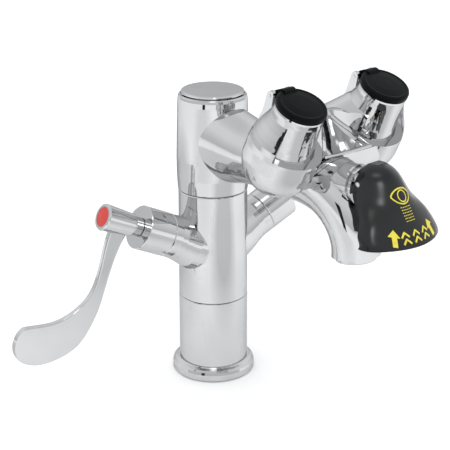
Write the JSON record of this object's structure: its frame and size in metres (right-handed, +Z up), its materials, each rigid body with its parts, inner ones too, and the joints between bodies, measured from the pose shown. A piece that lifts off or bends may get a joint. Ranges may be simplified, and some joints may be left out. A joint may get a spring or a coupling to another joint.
{
  "type": "deck mounted eyewash station",
  "caption": "Deck eyewash faucet: pillar with wrist-blade valves, swivelling twin-bowl head with flip-up lids, spout with aerator, and a hands-free lift paddle that works a diverter.",
  "frame": {"origin": "centre of the base flange's underside, on the pillar's axis and the fixing thread's axis", "axes": "+Z up along the pillar, -Y forward along the spout and paddle, +X towards the cold side"},
  "size_m": [0.2752, 0.2484, 0.2186],
  "materials": {
    "chrome": "polished plate on cast brass",
    "brass": "machined",
    "copper": "drawn tube",
    "stainless": "turned and lightly brushed",
    "rubber_black": "moulded",
    "grey_plastic": "moulded",
    "ceramic_white": "lapped ceramic",
    "lid_black": "satin moulded",
    "paddle_black": "satin moulded",
    "print_yellow": "pad-printed ink",
    "index_red": "glossy moulded",
    "index_blue": "glossy moulded"
  },
  "bodies": {
    "pedestal": {"base_flange": "chrome", "base_gasket": "rubber_black", "pillar": "chrome", "fixing_bush": "brass", "hot_supply_tube": "copper", "cold_supply_tube": "copper", "valve_body": "chrome", "swivel_seal_1": "rubber_black", "swivel_seal_2": "rubber_black", "swivel_retainer": "stainless", "hot_sleeve": "chrome", "hot_cartridge": "brass", "hot_cartridge_seal": "rubber_black", "cold_sleeve": "chrome", "cold_cartridge": "brass", "cold_cartridge_seal": "rubber_black"},
    "spout_head": {"head_casting": "chrome", "top_cap": "chrome", "top_cap_seal": "rubber_black", "left_screen": "stainless", "left_diffuser": "grey_plastic", "left_lid_pin": "stainless", "right_screen": "stainless", "right_diffuser": "grey_plastic", "right_lid_pin": "stainless", "lid_bumper": "rubber_black", "aerator_shell": "chrome", "aerator_insert": "grey_plastic", "aerator_washer": "rubber_black", "paddle_mount": "chrome"},
    "hot_lever": {"hot_stem": "brass", "hot_valve_disc": "ceramic_white", "hot_handle": "chrome", "hot_handle_screw": "stainless", "hot_index_button": "index_red"},
    "cold_lever": {"cold_stem": "brass", "cold_valve_disc": "ceramic_white", "cold_handle": "chrome", "cold_handle_screw": "stainless", "cold_index_button": "index_blue"},
    "left_lid_flap": {"left_lid": "lid_black"},
    "right_lid_flap": {"right_lid": "lid_black"},
    "paddle": {"lift_paddle": "paddle_black", "paddle_pin": "stainless"},
    "diverter": {"diverter_stem": "brass", "diverter_poppet": "brass"}
  },
  "joints": [
    {"name": "head_swivel", "type": "hinge", "parent": "pedestal", "child": "spout_head", "pos_m": [0, 0, 0.1266], "axis": [0, 0, 1], "range_deg": [-45, 45]},
    {"name": "hot_turn", "type": "hinge", "parent": "pedestal", "child": "hot_lever", "pos_m": [0, 0, 0.0846], "axis": [-0.8944, 0.1209, 0.4305], "range_deg": [-90, 0]},
    {"name": "cold_turn", "type": "hinge", "parent": "pedestal", "child": "cold_lever", "pos_m": [0, 0, 0.0846], "axis": [0.8944, -0.1209, 0.4305], "range_deg": [-62, 28]},
    {"name": "left_lid_flip", "type": "hinge", "parent": "spout_head", "child": "left_lid_flap", "pos_m": [-0.0329, -0.09612, 0.21379], "axis": [-1, 0, 0], "range_deg": [0, 110]},
    {"name": "right_lid_flip", "type": "hinge", "parent": "spout_head", "child": "right_lid_flap", "pos_m": [0.0329, -0.09612, 0.21379], "axis": [-1, 0, 0], "range_deg": [0, 110]},
    {"name": "paddle_lift", "type": "hinge", "parent": "spout_head", "child": "paddle", "pos_m": [0, -0.14, 0.1685], "axis": [-1, 0, 0], "range_deg": [0, 35]},
    {"name": "diverter_slide", "type": "slide", "parent": "spout_head", "child": "diverter", "axis": [0, -1, 0], "range_m": [0, 0.00342]}
  ],
  "couplings": [
    {"joint": "paddle_lift", "follows": "diverter_slide", "rad_per_m": 178.57}
  ]
}
